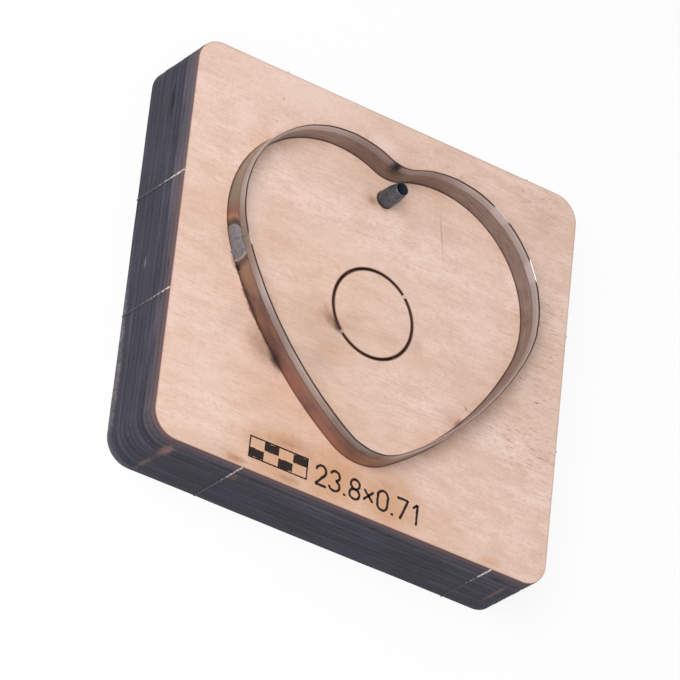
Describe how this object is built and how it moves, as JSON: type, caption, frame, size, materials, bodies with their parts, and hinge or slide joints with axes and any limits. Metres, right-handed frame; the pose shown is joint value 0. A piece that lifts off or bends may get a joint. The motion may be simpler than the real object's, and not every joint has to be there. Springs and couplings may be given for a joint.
{
  "type": "steel rule die",
  "caption": "Plywood cutting die with a bent steel rule in the shape of a heart and a small tube punch, pressed through leather, felt or card to cut a heart with a hanging hole.",
  "frame": {"origin": "middle of the board's underside, level with the foot of the rule", "axes": "+Z towards the cutting edges, +Y towards the notch of the heart, +X along the longer side of the board"},
  "size_m": [0.0984, 0.0936, 0.0238],
  "materials": {
    "plywood": "bare veneer with burned edges",
    "rule_steel": "ground, with heat tint",
    "punch_steel": "turned, darkened",
    "weld_metal": "dressed flat, dull"
  },
  "bodies": {
    "root": {"die_board": "plywood", "steel_rule": "rule_steel", "hole_punch": "punch_steel", "joint_weld": "weld_metal"}
  },
  "joints": []
}
